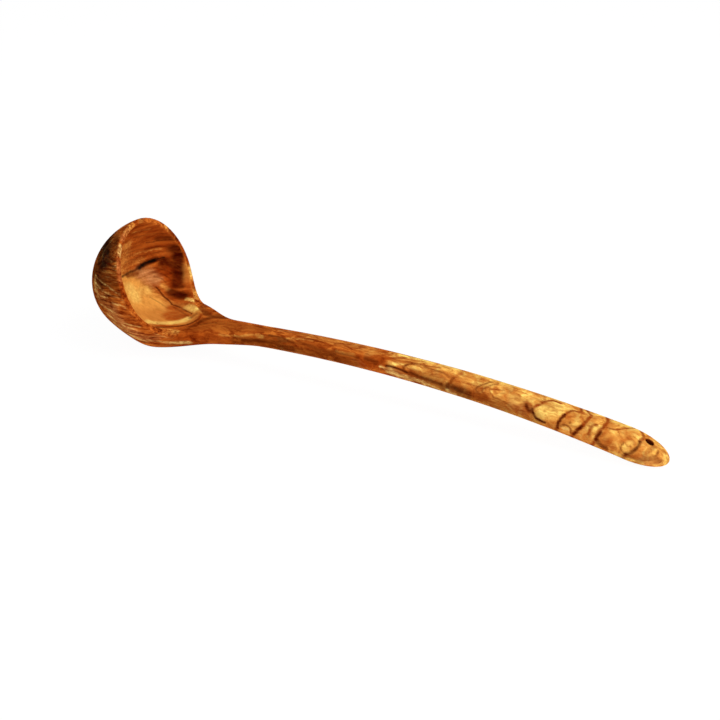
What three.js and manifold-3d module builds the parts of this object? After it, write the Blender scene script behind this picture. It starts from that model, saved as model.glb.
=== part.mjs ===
// A wooden ladle, carved from one billet of figured olive wood.
// Millimetres, +Z up. The ladle lies on its back on a table, on the bowl's keel and the handle's end,
// with the handle along +X, the mouth looking up and along the handle, and the mirror plane at y = 0.
// The wood is cut square across at the neck into two solids, the bowl and the handle.
import * as THREE from "three";
import { mergeVertices } from "three/addons/utils/BufferGeometryUtils.js";
import Module from "manifold-3d";

// Bowl, measured on the outside. X stations below start at the middle of the mouth.
const bowlLength = 67.4;
const bowlWidth = 76.5;
const bowlDepth = 36.4;
const mouthTilt = 27.8;
const mouthHeight = 38.7;

// Hollow: wall at the rim fore and aft, wall at the sides, and floor
const endWall = 3.2;
const sideWall = 4.2;
const floorWall = 4.8;

// Throat, the shallow run-out that leads from the hollow towards the neck
const throatX = 16.2;
const throatLength = 18;
const throatWidth = 22;
const throatDepth = 6;
const throatBlend = 8.7;

// Neck: where the handle's root rounds off under the bowl, how long that takes, how much deeper and
// (on each side) wider the root is and how both fade, where the handle's taper starts, how softly bowl
// and handle meet below and above, and where the wood is cut across
const rootX = 8;
const rootLength = 10;
const keelDepth = 4;
const keelFade = 0.7;
const neckFlare = 5;
const flareFade = 0.6;
const neckX = 66;
const neckBlend = 17;
const lipBlend = 17.2;
const cutX = 62;

// Handle: an arched bar that grows from the neck to the grip and ends in a round nose
const handleReach = 300;
const archRadius = 838;
const archX = 131.8;
const neckWidth = 16.8;
const neckThickness = 10;
const gripWidth = 22.6;
const gripThickness = 14.8;
const waist = 0.4;
const taper = 1.45;
const noseLength = 23;
const sectionPower = 2.3;
const neckCrown = 0.9;
const gripCrown = 0.96;

// Hanging hole, drilled square to the top of the handle
const holeDiameter = 4.5;
const holeInset = 13.2;

// Facets: how many points or steps each stretch of the skin has
const facets = { ring: 44, under: 28, top: 5, back: 20, neck: 20, bar: 26, nose: 9, rim: 48, drill: 28 };

const tilt = THREE.MathUtils.degToRad(mouthTilt);
const across = bowlWidth / 2;
const along = bowlLength / 2;
const backReach = Math.hypot(along * Math.sin(tilt), bowlDepth * Math.cos(tilt));
const noseX = handleReach - noseLength;

// Soft versions of min and max, with a blend of the given size
function softMin(a, b, size) {
  const h = THREE.MathUtils.clamp(0.5 + (b - a) / (2 * size), 0, 1);
  return b + (a - b) * h - size * h * (1 - h);
}
function softMax(a, b, size) {
  return -softMin(-a, -b, size);
}

// Signed distance, near the surface, to an ellipsoid about the origin
function ellipsoid(u, y, v, halfU, halfY, halfV) {
  const size = Math.hypot(u / halfU, y / halfY, v / halfV) + 1e-9;
  const slope = Math.hypot(u / halfU ** 2, y / halfY ** 2, v / halfV ** 2) + 1e-12;
  return (size * (size - 1)) / slope;
}

// The handle's section at a station: height of its middle, half width, half thickness and crown
function handleAt(x) {
  const grow = THREE.MathUtils.clamp((x - neckX) / (noseX - neckX), 0, 1) ** taper;
  const past = Math.max(x - noseX, 0) / noseLength;
  const round = Math.sqrt(Math.max(1 - past * past, 0));
  const width = THREE.MathUtils.lerp(neckWidth, gripWidth, grow);
  const hollowing = waist * 4 * grow * (1 - grow);
  const thickness = THREE.MathUtils.lerp(neckThickness, gripThickness, grow) - hollowing;
  const rise = ((noseX - archX) ** 2 - (x - archX) ** 2) / (2 * archRadius);
  const near = 1 - THREE.MathUtils.smoothstep(x, rootX, neckX);
  const keel = keelDepth * near ** keelFade;
  return {
    middle: gripThickness / 2 + rise - keel / 2,
    halfWidth: Math.max((width / 2) * round, 1e-4) + neckFlare * near ** flareFade,
    half: Math.max((thickness / 2) * round, 1e-4) + keel / 2,
    crown: THREE.MathUtils.lerp(neckCrown, gripCrown, grow),
  };
}

// Height of the top at a station: the slanting rim, running softly into the top of the handle
function topAt(x) {
  const rim = mouthHeight - x / Math.tan(tilt);
  const bar = handleAt(x);
  return x < 0 ? rim : softMax(rim, bar.middle + bar.half * bar.crown, lipBlend);
}

// Outside of the ladle before its top is cut: the cup and the bar, blended
function outside(x, y, z) {
  const u = x * Math.sin(tilt) - (z - mouthHeight) * Math.cos(tilt);
  const v = x * Math.cos(tilt) + (z - mouthHeight) * Math.sin(tilt);
  const cup = ellipsoid(u, y, v, along, across, bowlDepth);
  const bar = handleAt(x);
  const girth = Math.pow(
    Math.abs(y / bar.halfWidth) ** sectionPower + Math.abs((z - bar.middle) / bar.half) ** sectionPower,
    1 / sectionPower,
  );
  const past = Math.max(rootX - x, 0) / rootLength;
  const bare = (Math.hypot(girth, past) - 1) * Math.min(bar.halfWidth, bar.half);
  return softMin(cup, bare, neckBlend);
}

// Inside of the bowl: an oval hollow with the throat let into its front
function hollowField(x, y, z) {
  const u = x * Math.sin(tilt) - (z - mouthHeight) * Math.cos(tilt);
  const v = x * Math.cos(tilt) + (z - mouthHeight) * Math.sin(tilt);
  const cup = ellipsoid(u, y, v, along - endWall, across - sideWall, bowlDepth - floorWall);
  const down = z - topAt(throatX);
  const throat = ellipsoid(x - throatX, y, down, throatLength / 2, throatWidth / 2, throatDepth);
  return softMin(cup, throat, throatBlend);
}

// Distance from a point inside to the surface, along a direction, found by halving
const halvings = 44;
function reachTo(field, from, direction) {
  let near = 0;
  let end = handleReach;
  for (let i = 0; i < halvings; i += 1) {
    const middle = (near + end) / 2;
    const hit = field(
      from.x + direction.x * middle,
      from.y + direction.y * middle,
      from.z + direction.z * middle,
    );
    if (hit < 0) {
      near = middle;
    } else {
      end = middle;
    }
  }
  return (near + end) / 2;
}

// Lowest and highest point of the ladle at a station, in the mirror plane, under a given ceiling
function spanAt(x, ceiling) {
  const swing = (bowlDepth ** 2 - along ** 2) * Math.sin(tilt) * Math.cos(tilt);
  const cupMiddle = mouthHeight + (x * swing) / backReach ** 2;
  const inside = Math.min(x < backReach * 0.95 ? cupMiddle : handleAt(x).middle, topAt(x));
  const seed = new THREE.Vector3(x, 0, inside);
  const full = inside + reachTo(outside, seed, new THREE.Vector3(0, 0, 1));
  const low = inside - reachTo(outside, seed, new THREE.Vector3(0, 0, -1));
  return { low, high: Math.min(full, ceiling) };
}

// A section of the bowl's blank: rays at even angles, stopped by the skin or by the ceiling
function blankSection(x, ceiling) {
  const { low, high } = spanAt(x, ceiling);
  const middle = new THREE.Vector3(x, 0, (low + high) / 2);
  const ring = [];
  for (let i = 0; i < facets.ring; i += 1) {
    const angle = Math.PI / 2 - (2 * Math.PI * i) / facets.ring;
    const ray = new THREE.Vector3(0, Math.cos(angle), Math.sin(angle));
    const roof = ray.z > 0 ? (ceiling - middle.z) / ray.z : Infinity;
    ring.push(middle.clone().addScaledVector(ray, Math.min(roof, reachTo(outside, middle, ray))));
  }
  return ring;
}

// A section of the handle: the under side from edge to edge, then back across the flat of the top
function handleSection(x) {
  const { low, high } = spanAt(x, topAt(x));
  const middle = new THREE.Vector3(x, 0, (low + high) / 2);
  const edgeY = reachTo(outside, new THREE.Vector3(x, 0, high), new THREE.Vector3(0, 1, 0));
  const start = Math.atan2(high - middle.z, edgeY);
  const ring = [];
  for (let i = 0; i <= facets.under; i += 1) {
    const angle = start - ((Math.PI + 2 * start) * i) / facets.under;
    const ray = new THREE.Vector3(0, Math.cos(angle), Math.sin(angle));
    ring.push(middle.clone().addScaledVector(ray, reachTo(outside, middle, ray)));
  }
  ring[0].set(x, edgeY, high);
  ring[facets.under].set(x, -edgeY, high);
  for (let i = 1; i < facets.top; i += 1) {
    ring.push(new THREE.Vector3(x, edgeY * ((2 * i) / facets.top - 1), high));
  }
  return ring;
}

// A closed skin over sections of equal count, with a flat cap on each end
function loft(sections) {
  const count = sections[0].length;
  const points = sections.flat();
  const faces = [];
  for (let s = 0; s + 1 < sections.length; s += 1) {
    for (let i = 0; i < count; i += 1) {
      const a = s * count + i;
      const b = s * count + ((i + 1) % count);
      const rising = points[a].distanceTo(points[b + count]);
      const falling = points[b].distanceTo(points[a + count]);
      if (rising < falling) {
        faces.push(a, b + count, b, a, a + count, b + count);
      } else {
        faces.push(a, a + count, b, b, a + count, b + count);
      }
    }
  }
  for (const end of [0, sections.length - 1]) {
    const ring = sections[end];
    const middle = ring.reduce((sum, point) => sum.add(point), new THREE.Vector3()).divideScalar(count);
    const hub = points.push(middle) - 1;
    for (let i = 0; i < count; i += 1) {
      const a = end * count + i;
      const b = end * count + ((i + 1) % count);
      faces.push(...(end === 0 ? [hub, a, b] : [hub, b, a]));
    }
  }
  const geometry = new THREE.BufferGeometry().setFromPoints(points);
  geometry.setIndex(faces);
  return geometry;
}

// Joining and cutting
const wasm = await Module();
wasm.setup();

function solid(geometry) {
  const bare = geometry.clone();
  bare.deleteAttribute("normal");
  bare.deleteAttribute("uv");
  const merged = mergeVertices(bare, 1e-4);
  const index = merged.index.array;
  const kept = [];
  for (let i = 0; i < index.length; i += 3) {
    const [a, b, c] = [index[i], index[i + 1], index[i + 2]];
    if (a !== b && b !== c && c !== a) {
      kept.push(a, b, c);
    }
  }
  return new wasm.Manifold(
    new wasm.Mesh({
      numProp: 3,
      vertProperties: new Float32Array(merged.attributes.position.array),
      triVerts: new Uint32Array(kept),
    }),
  );
}

function geometryOf(body) {
  const mesh = body.getMesh();
  const geometry = new THREE.BufferGeometry();
  geometry.setAttribute("position", new THREE.BufferAttribute(mesh.vertProperties, mesh.numProp));
  geometry.setIndex(new THREE.BufferAttribute(mesh.triVerts, 1));
  geometry.computeVertexNormals();
  return geometry;
}

// Stations along the ladle: close together round the back of the bowl, the rim, the neck and the nose
const bowlStations = [];
for (let i = 0; i <= facets.back; i += 1) {
  bowlStations.push(-backReach * Math.cos((Math.PI / 2) * (i / facets.back)));
}
for (let i = 1; i <= facets.neck; i += 1) {
  bowlStations.push(cutX * (i / facets.neck));
}
const handleStations = [];
for (let i = 0; i <= facets.bar; i += 1) {
  handleStations.push(THREE.MathUtils.lerp(cutX, noseX, i / facets.bar));
}
for (let i = 1; i <= facets.nose; i += 1) {
  handleStations.push(noseX + noseLength * Math.sin((Math.PI / 2) * (i / facets.nose)));
}

// Bowl: a blank up to the neck, cut along the rim and the top of the neck, less the hollow
const spare = bowlWidth / 8;
const blank = loft(bowlStations.map((x) => blankSection(x, topAt(x) + spare)));
const above = new THREE.Shape();
above.moveTo(-backReach - spare, mouthHeight * 4);
for (let i = 0; i <= facets.rim; i += 1) {
  const x = THREE.MathUtils.lerp(-backReach - spare, cutX + spare, i / facets.rim);
  above.lineTo(x, topAt(x));
}
above.lineTo(cutX + spare, mouthHeight * 4);
const waste = new THREE.ExtrudeGeometry(above, { depth: bowlWidth * 2, bevelEnabled: false });
waste.rotateX(Math.PI / 2);
waste.translate(0, bowlWidth, 0);
const hollow = new THREE.SphereGeometry(1, 56, 33);
hollow.rotateX(Math.PI / 2);
hollow.rotateY(Math.PI / 2 - tilt);
const hub = new THREE.Vector3(0, 0, mouthHeight);
const spots = hollow.attributes.position;
for (let i = 0; i < spots.count; i += 1) {
  const ray = new THREE.Vector3().fromBufferAttribute(spots, i).normalize();
  const spot = hub.clone().addScaledVector(ray, reachTo(hollowField, hub, ray));
  spots.setXYZ(i, spot.x, spot.y, spot.z);
}
const bowlBody = solid(blank).subtract(solid(waste)).subtract(solid(hollow));

// Handle: the skin from the neck to the nose, less the hanging hole
const handleSkin = loft(handleStations.map(handleSection));
const holeX = handleReach - holeInset;
const holeSpot = handleAt(holeX);
const holeRadius = holeDiameter / 2;
const drill = new THREE.CylinderGeometry(holeRadius, holeRadius, gripThickness * 3, facets.drill);
drill.rotateX(Math.PI / 2);
drill.rotateY((holeX - archX) / archRadius);
drill.translate(holeX, 0, holeSpot.middle);
const handleBody = solid(handleSkin).subtract(solid(drill));

const bowl = new THREE.Mesh(
  geometryOf(bowlBody),
  new THREE.MeshStandardMaterial({ color: 0x8a4a1c, roughness: 0.42, metalness: 0 }),
);
bowl.name = "bowl";
const handle = new THREE.Mesh(
  geometryOf(handleBody),
  new THREE.MeshStandardMaterial({ color: 0xc98a3e, roughness: 0.42, metalness: 0 }),
);
handle.name = "handle";

// The origin is under the middle of the ladle, on the table
bowl.geometry.computeBoundingBox();
handle.geometry.computeBoundingBox();
const lowest = Math.min(bowl.geometry.boundingBox.min.z, handle.geometry.boundingBox.min.z);
const ladle = new THREE.Group();
ladle.position.set((backReach - handleReach) / 2, 0, -lowest);
ladle.add(bowl, handle);
ladle.updateMatrixWorld(true);

export default ladle;
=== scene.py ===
"""A ladle carved from one billet of figured olive wood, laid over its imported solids."""
import math

import bpy
import numpy as np
from bpy.props import FloatProperty, FloatVectorProperty, PointerProperty
from mathutils import Matrix, Vector, noise


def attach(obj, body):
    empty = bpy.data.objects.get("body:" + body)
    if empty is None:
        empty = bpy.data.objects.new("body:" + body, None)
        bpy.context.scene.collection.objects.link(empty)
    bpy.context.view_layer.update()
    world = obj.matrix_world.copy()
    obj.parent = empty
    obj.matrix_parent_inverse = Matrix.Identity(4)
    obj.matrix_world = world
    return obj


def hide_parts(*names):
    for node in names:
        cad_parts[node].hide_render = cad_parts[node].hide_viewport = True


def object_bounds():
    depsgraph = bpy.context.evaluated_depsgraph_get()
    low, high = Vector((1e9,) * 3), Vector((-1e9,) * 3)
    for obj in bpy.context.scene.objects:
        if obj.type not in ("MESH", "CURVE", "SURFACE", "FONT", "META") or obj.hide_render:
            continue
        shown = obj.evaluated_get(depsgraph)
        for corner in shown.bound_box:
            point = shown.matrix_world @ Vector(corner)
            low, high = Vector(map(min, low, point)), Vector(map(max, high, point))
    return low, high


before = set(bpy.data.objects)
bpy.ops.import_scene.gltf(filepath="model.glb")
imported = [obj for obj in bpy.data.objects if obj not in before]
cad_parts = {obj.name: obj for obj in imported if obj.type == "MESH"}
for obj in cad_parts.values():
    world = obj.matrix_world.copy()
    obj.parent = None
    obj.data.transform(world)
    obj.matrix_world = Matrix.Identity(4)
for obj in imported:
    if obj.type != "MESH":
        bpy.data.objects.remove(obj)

bl_info = {
    "name": "Carved wooden ladle",
    "version": (1, 0, 0),
    "blender": (4, 5, 0),
    "location": "View3D > Sidebar > Ladle",
    "description": "Carves a one-piece olive-wood ladle and sets up its studio",
    "category": "Object",
}

MM = 0.001
CAD_BOX = [list(corner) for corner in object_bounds()]


def linear(hex_colour):
    """Turn an sRGB hex colour into linear red, green and blue."""
    parts = [int(hex_colour[i:i + 2], 16) / 255 for i in (1, 3, 5)]
    return tuple(c / 12.92 if c <= 0.04045 else ((c + 0.055) / 1.055) ** 2.4 for c in parts)


def length(name, description, millimetres):
    """A size property in metres, given in millimetres."""
    return FloatProperty(name=name, description=description, default=millimetres * MM, unit="LENGTH",
                         precision=5)


def ratio(name, description, value):
    """A size property without a unit."""
    return FloatProperty(name=name, description=description, default=value, precision=3)


class LadleSizes(bpy.types.PropertyGroup):
    """The carving's sizes; stations run along the handle from the middle of the mouth."""
    bowl_length: length("Bowl length", "Mouth from front to back, outside", 67.4)
    bowl_width: length("Bowl width", "Mouth from side to side, outside", 76.5)
    bowl_depth: length("Bowl depth", "Depth of the bowl square to its mouth, outside", 36.4)
    mouth_height: length("Mouth height", "Middle of the mouth above the table", 38.7)
    mouth_tilt: FloatProperty(name="Mouth tilt", description="Angle of the mouth from upright",
                              default=math.radians(27.8), subtype="ANGLE")
    end_wall: length("End wall", "Rim thickness at the front and back", 3.2)
    side_wall: length("Side wall", "Rim thickness at the sides", 4.2)
    floor_wall: length("Floor wall", "Thickness of the bowl's floor", 4.8)
    throat_x: length("Throat station", "Middle of the run-out towards the neck", 16.2)
    throat_z: length("Throat height", "Middle of the run-out above the table", 17.47)
    throat_length: length("Throat length", "Length of the run-out", 18)
    throat_width: length("Throat width", "Width of the run-out", 22)
    throat_depth: length("Throat depth", "Depth of the run-out", 6)
    throat_blend: length("Throat blend", "How softly the hollow flows into the run-out", 8.7)
    root_x: length("Root station", "Where the handle's root starts to round off under the bowl", 8)
    root_length: length("Root length", "Length of the rounding under the bowl", 10)
    keel_depth: length("Keel depth", "Extra depth of the root under the neck", 4)
    keel_fade: ratio("Keel fade", "Power by which the keel fades towards the neck", 0.7)
    neck_x: length("Neck station", "Where the handle's taper starts", 66)
    neck_flare: length("Neck flare", "How much the neck widens on each side towards the bowl", 5)
    flare_fade: ratio("Flare fade", "Power by which that widening fades towards the neck", 0.6)
    neck_blend: length("Neck blend", "How softly bowl and handle meet below", 17)
    lip_blend: length("Lip blend", "How softly the rim runs down into the handle's top", 17.2)
    handle_reach: length("Handle reach", "Station of the handle's end", 300)
    arch_radius: length("Arch radius", "Radius of the handle's arch", 838)
    arch_x: length("Arch station", "Station of the arch's highest point", 131.8)
    neck_width: length("Neck width", "Width at the neck", 16.8)
    neck_thickness: length("Neck thickness", "Thickness at the neck", 10)
    grip_width: length("Grip width", "Width of the grip", 22.6)
    grip_thickness: length("Grip thickness", "Thickness of the grip", 14.8)
    waist: length("Waist", "How much thinner the bar is halfway", 0.4)
    taper: ratio("Taper", "Power by which the bar grows towards the grip", 1.45)
    nose_length: length("Nose length", "Length of the round end", 23)
    section_power: ratio("Section power", "Squareness of the bar's section", 2.3)
    neck_crown: ratio("Neck crown", "Height of the flat top at the neck, as a share", 0.9)
    grip_crown: ratio("Grip crown", "Height of the flat top at the grip, as a share", 0.96)
    hole_diameter: length("Hole diameter", "Width of the hanging hole", 4.5)
    hole_inset: length("Hole inset", "Hole's middle from the handle's end", 13.2)
    edge_round: length("Edge round", "How softly the rim and the top's edges are sanded", 1.0)
    hole_round: length("Hole round", "How softly the hole's edge is worn", 0.8)
    carving: length("Carving", "Unevenness left by the knife and the sanding", 0.16)
    skin_step: length("Skin step", "Width of the net that the skin is drawn with", 0.7)


def tint(name, description, hex_colour):
    """A colour property, given as an sRGB hex colour."""
    return FloatVectorProperty(name=name, description=description, subtype="COLOR", size=3, min=0, max=1,
                               default=linear(hex_colour))


class LadleColours(bpy.types.PropertyGroup):
    """The wood's colours, laid over a ground of heartwood; some marks in them are painted shade and
    painted highlights, noted where they are laid.
    """
    # Also laid as painted shade on the wall near the throat and low on the grip
    heart: tint("Heartwood", "Orange-brown ground of the neck and the bowl", "#B4581B")
    gold: tint("Gold", "Golden wood of the grip and the bowl's floor", "#E9A44A")
    # Also laid as painted light along the handle's lower near edge
    tan: tint("Tan", "Greyish tan wood in the bowl", "#B8733F")
    # Also laid as painted highlights on the handle's far top edge, the bowl's floor and the wall under the
    # near rim, and as painted light low before the nose
    pale: tint("Sapwood", "Pale yellow sapwood", "#F7CE6A")
    # Also laid as painted shade below the far rim and near the throat
    red: tint("Red", "Reddish brown wood", "#8A3006")
    # Also laid as painted shade low on the handle's near side
    brown: tint("Brown", "Brown wood along the handle's sides", "#7A360C")
    umber: tint("Umber", "Dark red-brown wood at the bowl's back", "#3E1A07")
    # Also laid as painted shade under the near ridge, below the far rim and along the near rim's inner
    # edge
    dark: tint("Dark", "Dark growth lines", "#481002")
    # Also laid as painted highlights on the neck, the rim and the bowl's near side
    fleck_and_highlight: tint("Fleck", "Pale flecks in the dark wood", "#D4A55C")
    black: tint("Black", "Near-black heart of the figure", "#17100C")


def sizes_of(context):
    """Every size of the ladle, by its property name, in metres."""
    group = context.scene.ladle_sizes
    return {prop.identifier: getattr(group, prop.identifier)
            for prop in group.bl_rna.properties if prop.type == "FLOAT"}


def add(tree, kind, *values, **settings):
    """Add a node, written as its type or type.operation, set it up and fill its inputs in order.

    A value is a socket to link, a constant, or None to leave the input as it is.
    The first output comes back; the node's other outputs are reached through it.
    """
    name, _, operation = kind.partition(".")
    node = tree.nodes.new(name)
    if operation:
        node.operation = operation
    for key, value in settings.items():
        setattr(node, key, value)
    sockets = [socket for socket in node.inputs if socket.enabled]
    for socket, value in zip(sockets, values):
        if isinstance(value, bpy.types.NodeSocket):
            tree.links.new(value, socket)
        elif value is not None:
            socket.default_value = value
    outputs = [socket for socket in node.outputs if socket.enabled]
    return outputs[0] if outputs else node


def group_tree(name, inputs, outputs):
    """Start a geometry node group; give the tree, its input sockets by name and its output node."""
    tree = bpy.data.node_groups.new(name, "GeometryNodeTree")
    for label, kind in inputs:
        tree.interface.new_socket(label, in_out="INPUT", socket_type=kind)
    for label, kind in outputs:
        tree.interface.new_socket(label, in_out="OUTPUT", socket_type=kind)
    given = tree.nodes.new("NodeGroupInput")
    made = tree.nodes.new("NodeGroupOutput")
    return tree, {socket.name: socket for socket in given.outputs if socket.name}, made


MATH = "ShaderNodeMath."
VECTOR = "ShaderNodeVectorMath."
NUMBER = "NodeSocketFloat"
POINT = "NodeSocketVector"


def arithmetic(tree):
    """Short names for the sums of one tree: plus, less, times, over and power."""
    def step(operation):
        return lambda *values, **settings: add(tree, MATH + operation, *values, **settings)

    return [step(operation) for operation in ("ADD", "SUBTRACT", "MULTIPLY", "DIVIDE", "POWER")]


def magnitude(tree, vector):
    """The length of a vector."""
    return add(tree, VECTOR + "LENGTH", vector).node.outputs["Value"]


def soft_minimum_group():
    """Two distances melted into one, as a carver blends two shapes; the larger one comes too."""
    tree, given, made = group_tree("Soft minimum", [("A", NUMBER), ("B", NUMBER), ("Blend", NUMBER)],
                                   [("Least", NUMBER), ("Most", NUMBER)])
    plus, less, times, over, _ = arithmetic(tree)
    a, b, blend = given["A"], given["B"], given["Blend"]
    share = plus(over(less(b, a), times(blend, 2.0)), 0.5, use_clamp=True)
    mixed = add(tree, "ShaderNodeMix", share, b, a)
    least = less(mixed, times(times(share, less(1.0, share)), blend))
    tree.links.new(least, made.inputs["Least"])
    tree.links.new(less(plus(a, b), least), made.inputs["Most"])
    return tree


# Keeps a division away from nought
TINY = 1e-6


def ellipsoid_group():
    """Distance from the skin of an egg-round form, from its half sizes."""
    tree, given, made = group_tree("Ellipsoid distance", [("Point", POINT), ("Halves", POINT)],
                                   [("Distance", NUMBER)])
    plus, less, times, over, _ = arithmetic(tree)
    unit = add(tree, VECTOR + "DIVIDE", given["Point"], given["Halves"])
    size = magnitude(tree, unit)
    slope = plus(magnitude(tree, add(tree, VECTOR + "DIVIDE", unit, given["Halves"])), TINY)
    tree.links.new(over(times(size, less(size, 1.0)), slope), made.inputs["Distance"])
    return tree


# Millimetres over which knife and sandpaper leave the skin a little uneven
UNEVEN_OVER = 24


def wood_group(names):
    """How far a point is from the skin of the carved wood, negative inside it."""
    tree, s, made = group_tree(
        "Carved wood", [("Point", POINT)] + [(name, NUMBER) for name in names],
        [(name, NUMBER) for name in ("Wood", "Hollow", "Top", "Middle", "Bore")])
    plus, less, times, over, power = arithmetic(tree)
    soft = soft_minimum_group()
    egg = ellipsoid_group()

    def melt(a, b, blend, most=False):
        """Blend two distances: the least of them, or the most."""
        node = add(tree, "GeometryNodeGroup", node_tree=soft).node
        for socket, value in zip(node.inputs, (a, b, blend)):
            tree.links.new(value, socket)
        return node.outputs["Most" if most else "Least"]

    def egg_distance(point, halves):
        """Distance from an egg-round form about the point's own origin."""
        node = add(tree, "GeometryNodeGroup", node_tree=egg).node
        tree.links.new(point, node.inputs["Point"])
        tree.links.new(halves, node.inputs["Halves"])
        return node.outputs["Distance"]

    def vector(*parts):
        return add(tree, "ShaderNodeCombineXYZ", *parts)

    def mix(share, a, b):
        return add(tree, "ShaderNodeMix", share, a, b)

    def half(value):
        return times(value, 0.5)

    def not_below_nought(value):
        return add(tree, MATH + "MAXIMUM", value, 0.0)

    x, y, z = add(tree, "ShaderNodeSeparateXYZ", s["Point"]).node.outputs

    # The bowl and its hollow are half eggs on the tilted mouth
    sine = add(tree, MATH + "SINE", s["mouth_tilt"])
    cosine = add(tree, MATH + "COSINE", s["mouth_tilt"])
    high = less(z, s["mouth_height"])
    u = less(times(x, sine), times(high, cosine))
    v = add(tree, MATH + "MULTIPLY_ADD", x, cosine, times(high, sine))
    mouth = vector(u, y, v)
    halves = vector(half(s["bowl_length"]), half(s["bowl_width"]), s["bowl_depth"])
    walls = vector(s["end_wall"], s["side_wall"], s["floor_wall"])
    cup = egg_distance(mouth, halves)
    well = egg_distance(mouth, add(tree, VECTOR + "SUBTRACT", halves, walls))

    # The run-out towards the neck
    spot = vector(s["throat_x"], 0.0, s["throat_z"])
    throat = egg_distance(add(tree, VECTOR + "SUBTRACT", s["Point"], spot),
                          vector(half(s["throat_length"]), half(s["throat_width"]), s["throat_depth"]))
    hollow = melt(well, throat, s["throat_blend"])

    # The handle's bar: its growth, its flare and keel at the neck, its waist and its round ends
    nose_x = less(s["handle_reach"], s["nose_length"])
    grow = power(add(tree, "ShaderNodeMapRange", x, s["neck_x"], nose_x), s["taper"])
    near = add(tree, "ShaderNodeMapRange", x, s["neck_x"], s["root_x"], interpolation_type="SMOOTHSTEP")
    flare = power(near, s["flare_fade"])
    half_width = add(tree, MATH + "MULTIPLY_ADD", flare, s["neck_flare"],
                     half(mix(grow, s["neck_width"], s["grip_width"])))
    halfway = times(times(grow, less(1.0, grow)), 4.0)
    thick = less(mix(grow, s["neck_thickness"], s["grip_thickness"]), times(halfway, s["waist"]))
    half_keel = half(times(power(near, s["keel_fade"]), s["keel_depth"]))
    half_thick = plus(half(thick), half_keel)
    past_nose = over(not_below_nought(less(x, nose_x)), s["nose_length"])
    past_root = over(not_below_nought(less(s["root_x"], x)), s["root_length"])
    nose_off = less(nose_x, s["arch_x"])

    def arch(station):
        """Height of the arch at a station, and how far the station is past the arch's highest point."""
        off = less(station, s["arch_x"])
        fall = less(times(nose_off, nose_off), times(off, off))
        rise = over(fall, times(s["arch_radius"], 2.0))
        return plus(half(s["grip_thickness"]), rise), off

    def bulge(place, half_size):
        """What one direction adds to the rounded-square section."""
        return power(add(tree, MATH + "ABSOLUTE", over(place, half_size)), s["section_power"])

    middle = less(arch(x)[0], half_keel)
    girth = power(plus(bulge(y, half_width), bulge(less(z, middle), half_thick)),
                  over(1.0, s["section_power"]))
    reach = magnitude(tree, vector(girth, past_nose, past_root))
    bar = times(less(reach, 1.0), add(tree, MATH + "MINIMUM", half_width, half_thick))
    outside = melt(cup, bar, s["neck_blend"])

    # The cut along the top: the mouth's plane runs down and out into the handle's flat top
    round_end = add(tree, MATH + "SQRT", not_below_nought(less(1.0, times(past_nose, past_nose))))
    crown = mix(grow, s["neck_crown"], s["grip_crown"])
    height = add(tree, MATH + "MULTIPLY_ADD", half(thick), round_end, half_keel)
    back = add(tree, MATH + "MULTIPLY_ADD", height, crown, middle)
    rim = less(s["mouth_height"], over(x, add(tree, MATH + "TANGENT", s["mouth_tilt"])))
    lip = melt(rim, back, s["lip_blend"], most=True)
    level = mix(add(tree, MATH + "LESS_THAN", x, 0.0), lip, rim)
    flat = plus(over(less(back, rim), times(s["lip_blend"], 2.0)), 0.5, use_clamp=True)
    top = times(less(z, level), mix(flat, sine, 1.0))

    # The hanging hole, drilled square to the arch
    hole_x = less(s["handle_reach"], s["hole_inset"])
    hole_z, hole_off = arch(hole_x)
    lean = over(hole_off, s["arch_radius"])
    cut = less(times(less(x, hole_x), add(tree, MATH + "COSINE", lean)),
               times(less(z, hole_z), add(tree, MATH + "SINE", lean)))
    bore = less(magnitude(tree, vector(cut, y, 0.0)), half(s["hole_diameter"]))

    solid = melt(outside, top, s["edge_round"], most=True)
    solid = melt(solid, times(hollow, -1.0), s["edge_round"], most=True)
    solid = melt(solid, times(bore, -1.0), s["hole_round"], most=True)
    uneven = add(tree, "ShaderNodeTexNoise", s["Point"], 1 / (UNEVEN_OVER * MM), 1.0, 0.5)
    wood = plus(solid, times(uneven, s["carving"]))
    found = {"Wood": wood, "Hollow": hollow, "Top": top, "Middle": middle, "Bore": bore}
    for name, value in found.items():
        tree.links.new(value, made.inputs[name])
    return tree


# Millimetres over which the slope of the wood is felt, and the least slope that counts
FEEL = 0.15
LEAST_SLOPE = 0.1


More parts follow.
